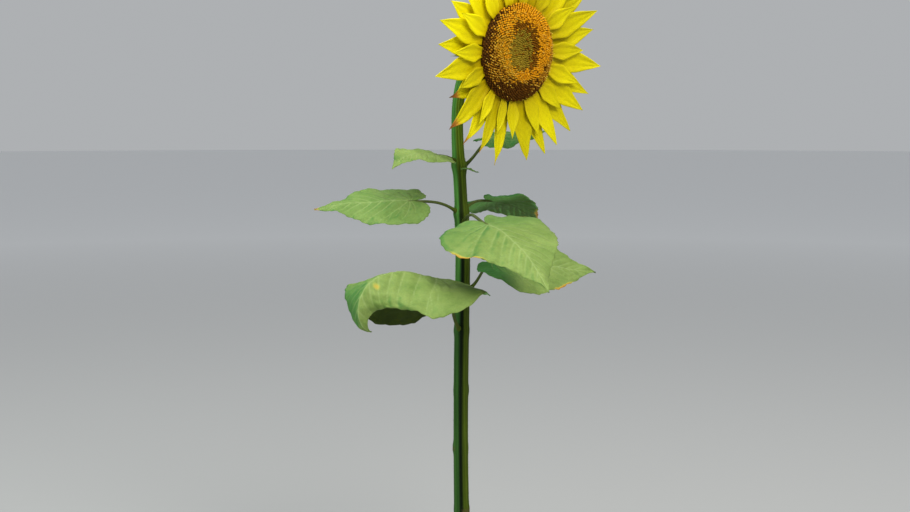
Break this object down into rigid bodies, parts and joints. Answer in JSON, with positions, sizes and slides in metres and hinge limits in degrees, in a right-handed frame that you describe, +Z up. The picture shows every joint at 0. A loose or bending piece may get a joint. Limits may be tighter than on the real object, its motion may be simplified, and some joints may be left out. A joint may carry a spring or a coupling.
{
  "type": "sunflower plant",
  "caption": "Sunflower in bloom on a tall upright stem, with heart-shaped leaves on arching petioles and a nodding flower head round a domed seed disc.",
  "frame": {"origin": "middle of the flat cut under the stem, at ground level", "axes": "+Z up along the stem; the flower head faces between +X and -Y; +X to the right seen from the front, -Y to the front"},
  "size_m": [0.3913, 0.3794, 1.1058],
  "materials": {
    "stem": "matt green herbaceous stem with long ridges",
    "leaf": "matt sage green leaf blade, yellowed at some margins",
    "petal": "satin bright yellow ray floret, a few with brown tips",
    "bract": "matt green bracts and back of the flower head",
    "disc": "matt brown and orange disc florets with an olive centre"
  },
  "bodies": {
    "root": {"bracts": "bract", "leaf_behind_head": "leaf", "leaf_lower_left": "leaf", "leaf_lower_right": "leaf", "leaf_middle_right": "leaf", "leaf_top_left": "leaf", "leaf_upper_left": "leaf", "leaf_upper_right": "leaf", "neck": "stem", "petiole_behind_head": "stem", "petiole_lower_left": "stem", "petiole_lower_right": "stem", "petiole_middle_right": "stem", "petiole_top_left": "stem", "petiole_upper_left": "stem", "petiole_upper_right": "stem", "ray_back_01": "petal", "ray_back_02": "petal", "ray_back_03": "petal", "ray_back_04": "petal", "ray_back_05": "petal", "ray_back_06": "petal", "ray_back_07": "petal", "ray_back_08": "petal", "ray_back_09": "petal", "ray_back_10": "petal", "ray_back_11": "petal", "ray_back_12": "petal", "ray_back_13": "petal", "ray_back_14": "petal", "ray_front_01": "petal", "ray_front_02": "petal", "ray_front_03": "petal", "ray_front_04": "petal", "ray_front_05": "petal", "ray_front_06": "petal", "ray_front_07": "petal", "ray_front_08": "petal", "ray_front_09": "petal", "ray_front_10": "petal", "ray_front_11": "petal", "ray_front_12": "petal", "ray_front_13": "petal", "ray_front_14": "petal", "receptacle": "bract", "seed_disc": "disc", "stem": "stem"}
  },
  "joints": []
}
